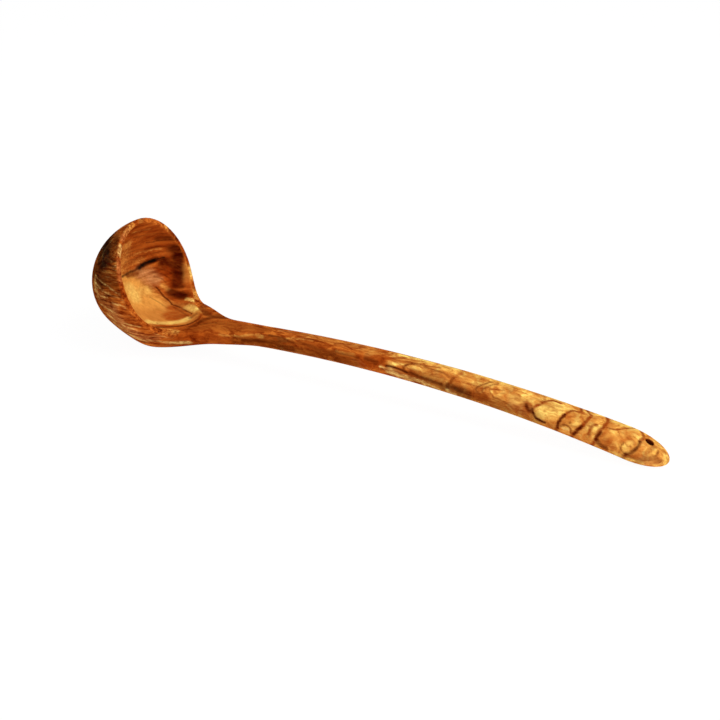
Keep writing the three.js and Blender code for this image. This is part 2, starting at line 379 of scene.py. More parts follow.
def ladle_tree(names):
    """The whole ladle: a block of wood, its skin where the distance is nought, drawn tight, moved home."""
    tree, given, made = group_tree(
        "Carved ladle",
        [(name, NUMBER) for name in names] + [("Low", POINT), ("High", POINT), ("Home", POINT),
                                              ("Wood", "NodeSocketMaterial")],
        [("Geometry", "NodeSocketGeometry")])
    _, less, times, over, _ = arithmetic(tree)
    wood = wood_group(names)

    def carve(point):
        """The wood's distances at a point."""
        node = add(tree, "GeometryNodeGroup", node_tree=wood).node
        tree.links.new(point, node.inputs["Point"])
        for name in names:
            tree.links.new(given[name], node.inputs[name])
        return node.outputs

    here = add(tree, "GeometryNodeInputPosition")
    block = add(tree, VECTOR + "SUBTRACT", given["High"], given["Low"])
    steps = add(tree, VECTOR + "DIVIDE", block, given["skin_step"])
    nx, ny, nz = add(tree, "ShaderNodeSeparateXYZ", steps).node.outputs
    density = times(carve(here)["Wood"], -1.0)
    volume = add(tree, "GeometryNodeVolumeCube", density, -1.0, given["Low"], given["High"], nx, ny, nz)
    skin = add(tree, "GeometryNodeVolumeToMesh", volume, 0.0, 0.0, resolution_mode="GRID")

    # Two steps along the slope draw the net onto the true surface
    for _ in range(2):
        far = carve(here)["Wood"]
        slopes = []
        for axis in range(3):
            nudge = [0.0, 0.0, 0.0]
            nudge[axis] = FEEL * MM
            ahead = carve(add(tree, VECTOR + "ADD", here, nudge))["Wood"]
            slopes.append(over(less(ahead, far), FEEL * MM))
        slope = add(tree, "ShaderNodeCombineXYZ", *slopes)
        steep = add(tree, VECTOR + "DOT_PRODUCT", slope, slope).node.outputs["Value"]
        pull = times(over(far, add(tree, MATH + "MAXIMUM", steep, LEAST_SLOPE)), -1.0)
        step = add(tree, VECTOR + "SCALE", slope)
        tree.links.new(pull, step.node.inputs["Scale"])
        skin = add(tree, "GeometryNodeSetPosition", skin, None, None, step)

    # What each point of the skin belongs to, for the figure of the wood
    found = carve(here)
    for name in ("Hollow", "Top", "Middle", "Bore"):
        skin = add(tree, "GeometryNodeStoreNamedAttribute", skin, None, name.lower(), found[name],
                   data_type="FLOAT", domain="POINT")
    skin = add(tree, "GeometryNodeStoreNamedAttribute", skin, None, "carved", here,
               data_type="FLOAT_VECTOR", domain="POINT")
    corner = add(tree, "GeometryNodeBoundBox", skin).node.outputs["Min"]
    corner = add(tree, VECTOR + "MULTIPLY", corner, (1.0, 0.0, 1.0))
    skin = add(tree, "GeometryNodeTransform", skin, add(tree, VECTOR + "SUBTRACT", given["Home"], corner))
    skin = add(tree, "GeometryNodeSetShadeSmooth", skin)
    skin = add(tree, "GeometryNodeRealizeInstances", skin)
    skin = add(tree, "GeometryNodeSetMaterial", skin, None, given["Wood"])
    tree.links.new(skin, made.inputs["Geometry"])
    return tree


# How the figure is placed: on the handle, by a station in millimetres and a turn in degrees from the
# middle of the top towards the near side; in and on the bowl, by an angle in degrees from the bottom
# of the bowl towards the rim, and a turn in degrees from the throat towards the near side. An angle is
# turned into a length by the radius in millimetres of the handle's bar or of the bowl.
BAR_ROUND = 9.0
BOWL_ROUND = 35.0

# Seed of the waver, so that every run draws the same figure
GRAIN_SEED = 2

# Each mark: the colour, its width in millimetres, its strength, and the points that it runs through
HANDLE_MARKS = [
    # Golden ground from the middle of the handle to its end, patchy where it starts, with a painted
    # highlight along the far top edge
    ("gold", 56, 0.45, (54, 0), (172, 0)),
    ("gold", 54, 1.0, (92, 0), (172, 0)),
    ("gold", 19, 0.5, (20, -8), (40, -8)),
    ("gold", 19, 0.95, (42, -8), (80, -6)),
    # Painted highlight: the three pale streaks along the far top edge
    ("pale", 3.5, 0.5, (60, -50), (84, -54)),
    ("pale", 3.5, 0.55, (94, -50), (112, -54)),
    ("pale", 3, 0.5, (122, -48), (130, -52)),
    ("gold", 12, 0.22, (-38, -22), (-20, -16), (-4, -10)),
    ("gold", 3.5, 0.3, (-2, 46), (3, 5), (9, -6)),
    ("gold", 3, 0.7, (11, 60), (14, 57), (18, 48), (26, 52), (34, 55)),
    ("pale", 1.4, 0.4, (13, 57), (18, 50)),
    ("gold", 8, 0.8, (12, -30), (30, -34), (50, -30)),
    # Jagged gold line along the neck's near ridge
    ("gold", 1.0, 0.6, (-88, 73), (-84, 77), (-80, 73), (-76, 74), (-71, 65), (-66, 61), (-62, 62)),
    ("gold", 1.6, 0.4, (-68, 64), (-63, 69)),
    ("gold", 3, 0.4, (-53, 61), (-48, 53), (-43, 38), (-36, 26)),
    ("tan", 2.5, 0.6, (-56, -24), (-50, -32)),
    # Neck: brown, with a dark streak across it and a redder keel
    ("brown", 10, 0.4, (-104, 4), (-84, 8), (-66, 10)),
    ("dark", 3.6, 0.65, (-107, 50), (-104.5, 36), (-103, 0), (-101, -30), (-98, -49), (-93, -54)),
    ("dark", 2.4, 0.6, (-112, -68), (-106, -58), (-102, -52), (-97, -48)),
    ("dark", 1.2, 0.6, (-106, 64), (-100, 34), (-94, 8)),
    ("brown", 6, 0.4, (-101, 54), (-90, 48), (-78, 46)),
    ("red", 9, 0.8, (-112, 100), (-98, 95)),
    ("red", 5, 0.45, (-98, 84), (-84, 92), (-70, 98)),
    ("red", 14, 0.7, (-112, 180), (-80, 180)),
    # Painted highlight: a pale streak along the neck's lower near edge
    ("fleck_and_highlight", 1.4, 0.75, (-119, 87), (-114, 91), (-108, 94), (-103, 98)),
    ("gold", 1.0, 0.6, (-120, 68), (-117, 71), (-113, 73), (-109, 73)),
    ("fleck_and_highlight", 2.0, 0.6, (-128, 150), (-112, 148), (-104, 152)),
    # Near side of the handle: a long brown flank with darker blots, paler spots low down, and painted
    # light along its lower edge
    ("brown", 5.5, 0.9, (-78, 89), (-40, 92), (-8, 91)),
    # Painted light: a tan line along the lower edge, as light thrown up from the floor
    ("tan", 4, 0.6, (-74, 116), (-40, 116), (-4, 114)),
    ("dark", 2.4, 0.6, (-74, 90), (-68, 87), (-62, 81), (-56, 79), (-50, 68)),
    ("dark", 1.8, 0.75, (-60, 53), (-54, 53), (-48, 62)),
    ("red", 1.8, 0.8, (-56, 30), (-51, 47)),
    ("dark", 4.2, 0.7, (-52, 98), (-45, 92)),
    ("gold", 1.2, 0.7, (-54, 96), (-50, 99)),
    ("gold", 1.3, 0.8, (-43, 98), (-39, 102)),
    ("dark", 2.2, 0.55, (-42, 60), (-36, 65), (-28, 71), (-20, 74)),
    ("red", 3.0, 0.6, (-44, 14), (-30, 26), (-24, 40)),
    # Painted shade: a thin dark line just under the near ridge, where the lit top meets the shaded flank
    ("dark", 1.5, 0.5, (-54, 64), (-41, 66), (-28, 68), (-16, 69), (-6, 71)),
    ("brown", 2.4, 0.5, (-72, -30), (-40, -28)),
    ("brown", 4, 0.5, (-68, 73), (-60, 71), (-46, 68)),
    ("brown", 4, 0.55, (-20, 70), (-10, 70)),
    ("gold", 1.6, 0.35, (-20, 61), (-14, 65), (-10, 63)),
    ("tan", 0.9, 0.7, (-9, 80), (-5, 92), (-3, 104)),
    ("tan", 0.8, 0.6, (-6, 78), (-2, 90), (0, 102)),
    # Dark spot on the ridge, with red round it, and the gold and the pale streaks after it
    ("red", 5, 0.8, (-6, 72), (-3, 84), (4, 78), (6, 60)),
    ("dark", 2.6, 0.65, (-2, 66), (1, 69), (4, 72)),
    ("red", 4, 0.5, (-2, 52), (4, 50)),
    ("heart", 5, 0.6, (11, 42), (17, 36)),
    ("red", 3.4, 0.75, (6, 47), (11, 27), (17, -14)),
    ("fleck_and_highlight", 1.4, 0.5, (7, 82), (12, 87), (17, 92)),
    ("fleck_and_highlight", 3.6, 0.75, (12, 89), (20, 97), (25, 103)),
    ("brown", 0.9, 0.6, (8, 88), (16, 98)),
    ("brown", 0.9, 0.6, (14, 82), (22, 92)),
    ("dark", 1.5, 0.95, (10, 73), (15, 71), (18, 73), (22, 77)),
    ("brown", 1.5, 0.85, (25, 20), (21, 45), (19.5, 66), (23, 80)),
    ("dark", 1.7, 0.75, (24, 75), (28, 78), (34, 81), (42, 83)),
    ("brown", 6, 0.7, (25, 79), (36, 84), (48, 92)),
    ("brown", 5, 0.45, (28, 72), (34, 73), (42, 75)),
    ("fleck_and_highlight", 2.4, 0.9, (27, 97), (31, 99), (35, 102)),
    ("red", 2.8, 0.75, (20, 22), (27, 14), (31, 9), (37, -6)),
    ("brown", 1.6, 0.6, (30, 30), (40, 34), (45, 50)),
    ("pale", 3, 0.8, (14, -34), (24, -40), (32, -42)),
    ("pale", 3, 0.7, (38, -42), (47, -46)),
    # Slanting band, the dark streak low after it with its spots, and the brown lower edge, darkened
    # further as painted shade
    ("brown", 1.9, 0.85, (46, 84), (46.6, 70), (47.4, 52)),
    ("heart", 2.6, 0.75, (46.6, 70), (48, 40), (48.6, 20), (50, -10), (49, -60)),
    ("heart", 7, 0.5, (36, 30), (44, 40), (50, 56)),
    ("dark", 2.6, 0.8, (45.6, 80), (46.2, 88)),
    ("dark", 2.8, 0.75, (48, 82), (53, 84), (58, 87)),
    ("brown", 6, 0.65, (47, 85), (57, 88), (65, 91)),
    ("black", 1.5, 0.45, (50, 83), (54, 85)),
    ("umber", 3, 0.4, (43, 92), (50, 96), (58, 100)),
    ("brown", 5, 0.7, (56, 92), (68, 96), (80, 99)),
    # Painted shade over the wood: this brown wash and the orange-brown one two lines down darken the lower
    # near side
    ("brown", 8, 0.5, (28, 98), (60, 99), (96, 99)),
    ("heart", 6, 0.5, (58, 80), (78, 84), (96, 84)),
    ("heart", 6, 0.5, (100, 98), (126, 100), (140, 100)),
    ("red", 4, 0.75, (60, 84), (67, 84)),
    ("fleck_and_highlight", 2, 0.7, (38, 104), (41, 110)),
    ("fleck_and_highlight", 2.2, 0.7, (46, 101), (50, 106)),
    # Nested chevrons that point to the bowl, and the stains between them
    ("brown", 1.2, 0.85, (67, -21), (64.5, 20), (63, 42), (61, 64), (64, 78)),
    ("brown", 1.0, 0.7, (70.5, -24), (68, 16), (66.5, 40), (64.5, 64), (67.5, 77)),
    ("red", 1.0, 0.6, (75, 28), (70, 43), (68.5, 56), (71, 70)),
    ("red", 1.6, 0.4, (78, 34), (80, 0), (79, -30)),
    ("brown", 1.0, 0.75, (71, 73), (76, 75), (80, 80), (83, 88)),
    ("brown", 0.9, 0.65, (71, 80), (76, 82), (80, 88)),
    ("brown", 0.9, 0.55, (73, 88), (79, 95), (86, 98)),
    ("tan", 4, 0.6, (82, 74), (88, 82)),
    ("brown", 3, 0.6, (85, 82), (90, 90)),
    ("heart", 7, 0.2, (62, 44), (70, 36), (78, 30)),
    ("heart", 8, 0.45, (77, -10), (78, 30), (78, 70)),
    ("pale", 5, 0.3, (60, 40), (64, 30), (67, 10)),
    ("brown", 4, 0.4, (74, 82), (80, 86)),
    ("heart", 6, 0.2, (76, 64), (82, 62)),
    ("heart", 8, 0.4, (54, 20), (60, -4)),
    # Knot with a small pale eye, its red ring, the lines that leave it and the pale patches after it
    ("red", 4.6, 0.85, (89, 60), (92, 70)),
    ("dark", 1.8, 0.9, (89.4, 62), (90.6, 72), (93, 74)),
    ("dark", 1.4, 1.0, (93, 68), (93.6, 76), (94.6, 84), (96.4, 90), (101, 95)),
    ("red", 2.0, 0.9, (93.6, 62), (95, 48), (96.4, 34), (98, 2), (101, -27), (105, -26)),
    ("pale", 1.5, 1.0, (91.2, 64), (92.2, 66)),
    ("pale", 8, 0.65, (97, 66), (101, 52), (105, 42)),
    ("pale", 6, 0.35, (82, 52), (88, 46)),
    ("pale", 6, 0.5, (97, -4), (104, 0), (110, 0)),
    ("red", 2.4, 0.3, (97, 40), (103, 22), (106, 0)),
    ("brown", 2.4, 0.5, (103, 98), (108, 104)),
    # Bands that wrap round the grip, where the wood's layers are cut across, each in a soft stain
    ("heart", 3.8, 0.55, (110, 92), (110.6, 70), (113, 42), (116, 6), (119, -14)),
    ("heart", 5, 0.62, (118, 98), (120.8, 76), (122.8, 58), (124, 30), (124.6, -12)),
    ("heart", 4.4, 0.6, (129.4, 96), (130.2, 72), (131.6, 54), (133, 28), (133.4, -8), (132, -46)),
    ("heart", 4.5, 0.62, (147, 95), (150.6, 78), (152.8, 58), (153.4, 34), (154, -8)),
    ("heart", 5, 0.4, (95, 50), (98, 28), (101, 0), (104, -26)),
    ("heart", 4, 0.3, (112, 66), (116, 46), (120, 30)),
    ("heart", 5, 0.6, (110, 92), (114, 88), (124, 90)),
    ("heart", 5, 0.45, (140, 20), (144, 8), (147, -6)),
    ("heart", 4, 0.4, (136, 70), (141, 60), (146, 44)),
    ("red", 1.7, 0.95, (107.6, 98), (108, 84), (108.6, 66), (110.6, 42), (113, 4), (117, -16), (114, -80),
     (108, -140), (106, -200), (107.6, -262)),
    ("dark", 1.5, 0.9, (107.8, 94), (108.2, 78), (109.2, 62), (110.4, 46)),
    ("brown", 1.0, 0.9, (109.4, 86), (111.4, 78), (113.4, 79), (115, 86), (115.4, 96)),
    ("fleck_and_highlight", 0.9, 0.8, (110.6, 90), (113.6, 88)),
    ("red", 1.2, 0.3, (111, 60), (114, 44), (118, 30)),
    ("red", 2.0, 0.92, (116.6, 98), (118.6, 78), (120.8, 60), (122.2, 32), (123, -12), (120.6, -34),
     (117, -90), (114, -150), (115, -215), (116.6, -262)),
    ("dark", 1.6, 0.9, (117, 96), (118.8, 78), (120.2, 66)),
    ("brown", 1.0, 0.9, (113.8, 66), (114.2, 66)),
    ("pale", 3.4, 0.4, (123, 62), (125, 46)),
    ("red", 1.8, 0.8, (124.8, 80), (125.2, 56), (127.2, 40)),
    ("pale", 3, 0.5, (127.6, 60), (129, 45)),
    ("red", 2.0, 0.92, (128.6, 88), (129, 74), (130.2, 56), (131.2, 30), (131.4, -8), (130.4, -49),
     (126, -100), (123, -160), (126, -220), (128.6, -272)),
    ("dark", 1.7, 0.9, (128.8, 86), (129.4, 74), (130.8, 60)),
    ("dark", 2.4, 0.7, (129.6, 86), (132, 97), (135, 99)),
    ("red", 1.2, 0.85, (132.8, 34), (137, 28), (140.4, -2), (145.4, -42), (147, -66)),
    ("pale", 4, 0.7, (135, -36), (143, -40)),
    ("red", 3, 0.5, (134, 76), (139, 86)),
    ("brown", 0.9, 0.75, (143.4, 66), (142.8, 78), (144, 89), (146, 93)),
    ("brown", 1.6, 0.6, (144, 99), (149, 94), (153, 94)),
    ("dark", 1.5, 0.85, (145.6, 92), (148.8, 79), (150.8, 60), (151.2, 37)),
    ("red", 2.0, 0.8, (151.2, 37), (152, -6), (149, -60), (144, -130), (142, -190), (145.6, -268)),
    ("pale", 2.8, 0.4, (145, 72), (147.4, 56)),
    # Nose: soft bands, a pale tip, and painted light along the lower edge before it
    ("red", 2.4, 0.6, (155, 76), (157, 56), (159, 16)),
    ("brown", 1.3, 0.65, (158, 88), (160.6, 64), (161.6, 30)),
    ("heart", 4, 0.35, (160, 90), (162.6, 60), (163.4, 10)),
    ("pale", 5, 0.4, (166, 0), (167, 45), (167, 90)),
    # Painted light: a pale line along the lower edge
    ("pale", 3, 0.5, (138, 108), (146, 108), (154, 106)),
    ("brown", 2.6, 0.55, (152, 100), (156, 88), (160.4, 72), (163, 83)),
    ("tan", 5, 0.5, (155, 94), (162, 84)),
    # Far side and underside, drawn the same way
    ("brown", 8, 0.9, (-80, -95), (-30, -100), (10, -92), (40, -98)),
    ("dark", 3, 0.7, (-60, -88), (-20, -94)),
    ("dark", 2.2, 0.7, (-40, -108), (-12, -112)),
    ("gold", 1.8, 0.9, (-86, -72), (-74, -68), (-62, -58)),
    ("dark", 3, 0.8, (12, -84), (28, -80), (46, -90)),
    ("fleck_and_highlight", 3, 0.7, (-30, -116), (-16, -112)),
    ("fleck_and_highlight", 3.4, 0.8, (22, -106), (34, -110), (46, -114)),
    ("red", 4, 0.7, (56, -88), (68, -84)),
    ("brown", 1.1, 0.8, (66, -50), (61, -70), (66, -90)),
    ("brown", 1.0, 0.7, (71, -48), (66, -70), (71, -92)),
    ("brown", 7, 0.8, (-90, 165), (-30, 172), (30, 160), (70, 168)),
    ("dark", 2.6, 0.7, (-60, 160), (-10, 170), (36, 158)),
    ("fleck_and_highlight", 2.4, 0.6, (-40, 190), (-20, 186)),
    ("fleck_and_highlight", 2.6, 0.6, (48, 196), (66, 188)),
    ("dark", 1.8, 0.8, (70, -96), (90, -90), (98, -104)),
    ("dark", 1.6, 0.7, (60, 150), (80, 160), (100, 150)),
    ("pale", 5, 0.5, (84, -60), (94, -70)),
    ("pale", 5, 0.5, (110, 150), (120, 165)),
    ("pale", 5, 0.5, (130, -120), (140, -130)),
]

INSIDE_MARKS = [
    # Golden floor that climbs to the near rim, grey-tan above it
    ("gold", 25, 1.0, (24, -58), (40, -36), (62, -24), (86, -22)),
    ("gold", 8, 1.0, (21, -92), (24, -74)),
    ("gold", 9, 1.0, (44, -4), (60, -8), (80, -14)),
    # Painted highlights: the two pale patches on the floor
    ("pale", 7, 0.7, (24, -66), (29, -54), (30, -44)),
    ("pale", 6, 0.35, (38, -60), (45, -60)),
    ("tan", 9, 0.95, (42, -88), (50, -81), (54, -74)),
    ("tan", 5, 0.6, (42, -76), (50, -68)),
    # Right wall in dark maroon, redder in the middle with fine arcs, and a gold patch under the rim
    ("red", 10, 0.9, (65, -83), (71, -76), (73, -66)),
    ("dark", 9, 0.95, (84, -99), (86, -95), (84, -89)),
    ("dark", 8, 1.0, (83, -90), (80.5, -82), (78, -73), (76, -64)),
    ("dark", 7, 0.95, (68, -89), (74, -86), (80, -82)),
    ("dark", 7, 0.9, (69, -55), (76, -51), (82, -48)),
    ("dark", 6, 0.8, (74, -61), (79, -60)),
    ("dark", 0.9, 0.55, (56, -88), (65, -82), (72, -75), (76, -68)),
    ("dark", 0.9, 0.5, (54, -83), (62, -78), (68, -71), (71, -65)),
    ("dark", 0.8, 0.45, (54, -78), (60, -73), (64, -67)),
    ("gold", 3.4, 0.6, (60, -64), (66, -59)),
    ("gold", 1.2, 0.4, (62, -86), (70, -80), (75, -73)),
    ("gold", 8, 0.7, (89, -77), (88, -73), (87.5, -67)),
    ("heart", 6, 0.6, (86, -65), (88, -58)),
    # Dark and light lines across the top of the hollow
    ("dark", 1.9, 0.85, (74, -115), (82, -111), (90, -107)),
    ("dark", 1.2, 0.7, (64, -120), (70, -116), (76, -114)),
    ("dark", 1.1, 0.45, (60, -141), (70, -130), (82, -122), (89, -115)),
    ("dark", 0.9, 0.45, (42, -132), (52, -120), (64, -111), (78, -104)),
    ("dark", 1.0, 0.5, (34, -121), (46, -112), (57, -106), (70, -101), (81, -99)),
    # Partly painted shade: this broad dark wash and the three red washes after it darken the hollow below
    # the far rim
    ("dark", 4.4, 0.6, (76, -117), (83, -114), (88, -109)),
    ("red", 4, 0.35, (72, -140), (84, -125)),
    ("red", 4, 0.35, (50, -128), (62, -116), (74, -109)),
    ("red", 5, 0.5, (62, -114), (70, -110), (80, -106)),
    ("gold", 1.6, 0.35, (38, -127), (50, -116), (62, -109), (72, -104)),
    ("gold", 3.5, 0.35, (28, -125), (40, -110), (50, -104)),
    ("gold", 2.2, 0.35, (66, -150), (78, -136)),
    ("gold", 8, 0.4, (49, -140), (39, -131), (31, -121), (25, -109)),
    # The cleft: thin and purple-brown at its start, thick and black in the middle
    ("umber", 1.5, 0.85, (21, -104), (30, -99), (37, -97), (44, -97)),
    ("umber", 3.8, 0.85, (43, -97), (52, -96.5), (62, -95.5)),
    ("black", 2.3, 1.0, (44, -97), (50, -97), (56, -96.5), (61, -96)),
    ("black", 1.1, 0.9, (60, -96), (66, -95), (71, -94)),
    ("brown", 3, 0.8, (28, -96), (33, -92), (38, -90)),
    # Edge of the floor: dark curved lines down to the throat
    # Partly painted shade: the six washes from here, orange-brown and red, darken the wall near the throat
    # that faces away from the light
    ("heart", 11, 0.95, (70, -23), (78, -24), (88, -22)),
    ("heart", 8, 0.9, (70, -34), (78, -31), (86, -27)),
    ("heart", 7, 0.95, (72, -17), (79, -17.5), (86, -19)),
    ("red", 5, 0.4, (74, -36), (80, -33), (85, -30)),
    ("red", 5, 0.45, (79, -20), (86, -22)),
    ("heart", 15, 0.32, (44, -12), (60, -20), (76, -30)),
    ("dark", 1.0, 0.9, (53, -64), (57, -57), (61, -50), (66, -45), (70, -40)),
    ("dark", 1.0, 0.9, (69, -40), (78, -35), (87, -29), (96, -23)),
    ("brown", 0.9, 0.6, (72, -35), (82, -28), (92, -21)),
    ("brown", 0.8, 0.4, (46, -50), (56, -42), (66, -34)),
    # Pale sapwood at the throat, and a painted highlight along the near edge, where the wall under the
    # near rim is lit
    ("pale", 5.2, 1.0, (88.5, -32.5), (94.5, -30), (100, -26.5)),
    ("pale", 3.0, 0.75, (86, -44), (92, -41), (97, -39)),
    # Painted highlight: the pale crescent on the wall under the near rim
    ("pale", 4.4, 1.0, (53, -2), (61, -4.5), (71, -7.5), (79.5, -10.5), (87.5, -14.5), (92, -17.5)),
    ("brown", 3, 0.6, (95, -18), (101, -21)),
    ("brown", 1.2, 0.7, (62, -4.5), (62.6, -4)),
    # Partly painted shade: a dark line along the near rim's inner edge
    ("dark", 2.0, 0.9, (58, 9), (70, 4), (80, -1.5), (93, -7), (104, -12)),
    # Near wall, out of the main view
    ("gold", 30, 1.0, (24, 44), (46, 34), (76, 26)),
    ("gold", 14, 0.6, (44, 62), (66, 66)),
    ("pale", 4.2, 0.9, (60, 12), (74, 20), (86, 30)),
    ("tan", 7, 0.7, (40, 84), (48, 92)),
    ("brown", 1.6, 0.7, (40, 60), (60, 75), (86, 80)),
    ("dark", 1.2, 0.6, (30, 110), (56, 100), (84, 98)),
    ("red", 10, 0.7, (70, 110), (80, 140)),
    ("dark", 1.4, 0.6, (60, 150), (74, 130), (86, 122)),
]

RIM_MARKS = [
    # Near side, from the back to the throat
    ("gold", 3, 0.35, (90, 178), (90, 160)),
    ("tan", 5, 0.5, (90, 168), (90, 150)),
    ("red", 8, 0.45, (90, 152), (90, 120), (90, 60)),
    # Painted highlight: a pale streak on the near rim towards the back
    ("fleck_and_highlight", 2.0, 0.6, (90.5, 143), (90.5, 131)),
    ("tan", 5, 0.5, (90, 126), (90, 108)),
    ("red", 6, 0.7, (90, 104), (90, 84)),
    # Partly painted shade: a dark line along the near rim's inner edge
    ("dark", 1.4, 0.5, (88, 74), (88, 50), (88, 26)),
    ("red", 6, 0.35, (91, 72), (91, 60), (94, 45)),
    # Far side, from the back to the throat
    ("red", 2.5, 0.6, (90, -178), (90, -160)),
    ("gold", 4, 0.55, (90, -168), (90, -120)),
    ("red", 5, 0.7, (90, -118), (90, -104)),
    ("dark", 3, 0.4, (89, -118), (89, -106)),
    ("dark", 2.2, 0.8, (90, -107), (90, -105)),
    ("red", 3, 0.5, (90, -104), (90, -90)),
    ("red", 5, 0.8, (90, -92), (90, -80)),
    ("gold", 6, 0.7, (90, -77), (90, -66)),
    ("fleck_and_highlight", 2, 0.3, (90, -75), (90, -69)),
    ("red", 3, 0.6, (90, -62), (90, -56)),
    ("gold", 4, 0.6, (92, -54), (94, -44)),
    ("dark", 1.8, 0.6, (100, -26), (106, -14), (112, -2)),
]

OUTSIDE_MARKS = [
    # Brown ground, dark at the back, with an orange edge under the rim
    ("brown", 30, 0.7, (50, 160), (58, 125), (62, 104)),
    ("brown", 22, 0.35, (60, 92), (56, 72), (50, 50)),
    ("umber", 15, 0.95, (62, 165), (70, 146), (72, 128)),
    ("umber", 10, 0.75, (58, 128), (70, 112)),
    ("black", 6, 0.6, (68, 152), (74, 138), (73, 128)),
    ("red", 4, 0.5, (88, 172), (88, 150), (87, 128)),
    ("fleck_and_highlight", 0.8, 0.22, (68, 138), (71, 147), (74.6, 150.4), (77, 156), (78, 164)),
    ("umber", 5, 0.65, (81, 157), (83, 149), (85, 140)),
    ("brown", 6, 0.6, (84, 150), (83, 132), (84, 112)),
    # Fine dark and pale lines that fan out from the back towards the rim
    ("dark", 1.0, 0.95, (72, 139), (78, 133), (85, 127), (91, 125)),
    ("dark", 1.0, 0.95, (71, 132), (77, 127), (85, 122), (91, 120)),
    ("dark", 1.0, 0.9, (70, 126), (77, 122), (85, 119), (91, 116)),
    ("dark", 0.9, 0.8, (70, 119), (78, 115), (88, 111)),
    ("dark", 0.9, 0.7, (76, 150), (84, 146)),
    ("gold", 0.9, 0.45, (78, 131), (88, 124)),
    ("gold", 0.9, 0.4, (76, 120), (88, 114)),
    ("umber", 8, 0.5, (72, 122), (77, 115), (80, 108)),
    ("brown", 5, 0.8, (87, 121), (86, 108), (86, 97)),
    # Near side: a greyish band with pale flecks and dark lines, down to the neck
    ("tan", 7, 0.45, (60, 112), (62, 105), (64, 95), (68, 88)),
    ("tan", 9, 0.6, (71, 88), (70, 74), (71, 62), (75, 53), (80, 46), (86, 43)),
    ("fleck_and_highlight", 0.7, 0.47, (56, 122), (62, 118), (71, 110), (80, 103), (87, 97)),
    ("fleck_and_highlight", 0.7, 0.35, (56, 117), (64, 107), (73, 101), (86, 94)),
    ("fleck_and_highlight", 0.7, 0.35, (60, 112), (68, 105), (76, 100)),
    ("dark", 0.9, 0.7, (58, 120), (67, 111), (78, 105)),
    ("dark", 0.9, 0.6, (58, 110), (70, 101), (82, 96)),
    ("fleck_and_highlight", 0.9, 0.47, (62, 100), (72, 97)),
    ("fleck_and_highlight", 0.8, 0.47, (75, 92), (82, 89), (87, 85)),
    ("fleck_and_highlight", 0.9, 0.55, (56, 91), (64, 88), (70, 84)),
    ("fleck_and_highlight", 0.8, 0.39, (66, 86), (74, 83)),
    ("fleck_and_highlight", 0.9, 0.51, (57, 80), (64, 77), (66, 71)),
    ("fleck_and_highlight", 1.5, 0.55, (76, 69), (81, 65), (87, 63)),
    ("fleck_and_highlight", 0.9, 0.39, (70, 68), (78, 61)),
    ("red", 6, 0.45, (88, 62), (91, 47), (99, 38)),
    ("fleck_and_highlight", 4, 0.32, (60, 72), (64, 58), (70, 48), (78, 40)),
    ("fleck_and_highlight", 3, 0.3, (56, 118), (55, 108), (57, 98)),
    ("red", 5, 0.35, (86, 80), (88, 64)),
    # Painted highlight: a pale streak low on the bowl's near side, towards the throat
    ("fleck_and_highlight", 1.4, 0.62, (81, 42), (88, 37), (94, 31), (101, 26)),
    ("fleck_and_highlight", 0.9, 0.39, (93, 49), (96, 41), (101, 34)),
    ("umber", 12, 0.6, (20, 90), (40, 60)),
    ("fleck_and_highlight", 1.1, 0.55, (30, 80), (40, 66), (52, 60)),
    ("fleck_and_highlight", 1, 0.47, (24, 60), (38, 50)),
    # Far side
    ("brown", 30, 0.7, (50, -160), (58, -120), (62, -84), (60, -50)),
    ("umber", 16, 0.9, (42, -150), (54, -120), (62, -98)),
    ("black", 6, 0.5, (56, -128), (64, -110)),
    ("dark", 1.1, 0.8, (60, -108), (74, -104), (90, -102)),
    ("dark", 1.0, 0.7, (60, -98), (74, -95), (88, -94)),
    ("fleck_and_highlight", 1.1, 0.9, (50, -90), (64, -84), (78, -80)),
    ("fleck_and_highlight", 1.0, 0.8, (56, -76), (70, -70), (82, -66)),
    ("fleck_and_highlight", 1.3, 0.8, (64, -62), (76, -54)),
    ("red", 6, 0.7, (88, -50), (98, -34)),
]


def smooth(low, high, value):
    """Nought below low, one above high, eased between."""
    share = np.clip((value - low) / (high - low), 0, 1)
    return share * share * (3 - 2 * share)


def curve_through(points, steps=6):
    """A smooth line through the points."""
    points = np.array(points, float)
    if len(points) < 3:
        return points
    padded = np.vstack([2 * points[0] - points[1], points, 2 * points[-1] - points[-2]])
    line = []
    for before, start, end, after in zip(padded, padded[1:], padded[2:], padded[3:]):
        for t in np.arange(steps) / steps:
            line.append(0.5 * (2 * start + (end - before) * t
                               + (2 * before - 5 * start + 4 * end - after) * t ** 2
                               + (3 * start - before - 3 * end + after) * t ** 3))
    return np.vstack(line + [points[-1]])


# Softness of a stroke's edge: its share of the width, and the most in millimetres
STROKE_SOFT = 0.3
STROKE_SOFT_MOST = 4.0


def stroke(chart, line, width):
    """How strongly a soft stroke along a line covers each point of a chart."""
    nearest = np.full(len(chart), np.inf)
    for start, end in zip(line[:-1], line[1:]):
        run = end - start
        along = np.clip((chart - start) @ run / max(run @ run, TINY), 0, 1)
        gap = chart - start - along[:, None] * run
        nearest = np.minimum(nearest, np.einsum("ij,ij->i", gap, gap))
    soft = min(STROKE_SOFT * width, STROKE_SOFT_MOST)
    return 1 - smooth(width / 2 - soft, width / 2 + soft, np.sqrt(nearest))


# Share of a stretch of skin below which its marks aren't drawn
LEAST_SHARE = 0.01

# How the grain wavers: millimetres along it and across it for one swing, and how far it goes
WAVERS = ((9, 4, 0.45), (3, 1.3, 0.25))

# Where one stretch of the skin eases into the next, in millimetres: out from the hollow's skin, up to
# the rim's plane, along the stations where the rim ends and the neck starts, and out from the hole
HOLLOW_EDGE = (0.3, 1.1)
RIM_EDGE = (-1.5, -0.4)
RIM_END = (20, 30)
NECK_START = (12, 24)
# The hole's painted shade fades out over this reach
HOLE_EDGE = (0.0, 0.6)


